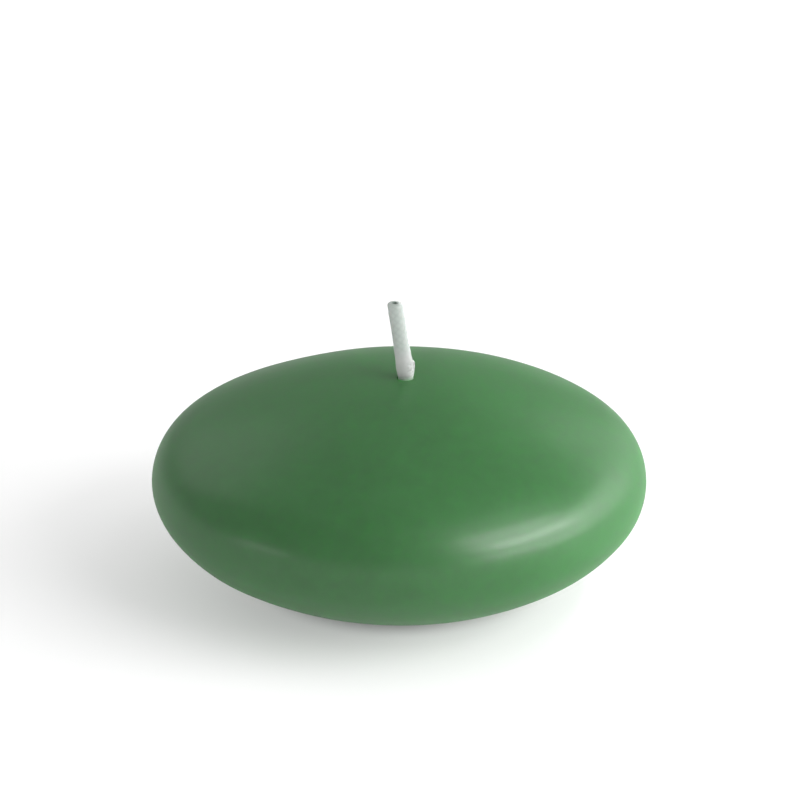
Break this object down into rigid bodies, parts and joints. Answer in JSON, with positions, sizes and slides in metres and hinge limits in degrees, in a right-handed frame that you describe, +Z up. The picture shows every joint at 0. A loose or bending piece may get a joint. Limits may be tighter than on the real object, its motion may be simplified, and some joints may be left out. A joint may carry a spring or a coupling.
{
  "type": "floating candle",
  "caption": "Lens-shaped floating candle with a low domed top, a rounded hull, a flat foot and a short leaning wick.",
  "frame": {"origin": "centre of the flat foot, at the height of the table", "axes": "+Z up through the candle; -X is the side the wick leans to; the picture looks along +Y and down"},
  "size_m": [0.075, 0.075, 0.046],
  "materials": {
    "wax_green": "satin",
    "waxed_cotton": "waxed",
    "tinplate": "bright rolled"
  },
  "bodies": {
    "root": {"wax_body": "wax_green", "wick": "waxed_cotton", "wick_sustainer": "tinplate"}
  },
  "joints": []
}
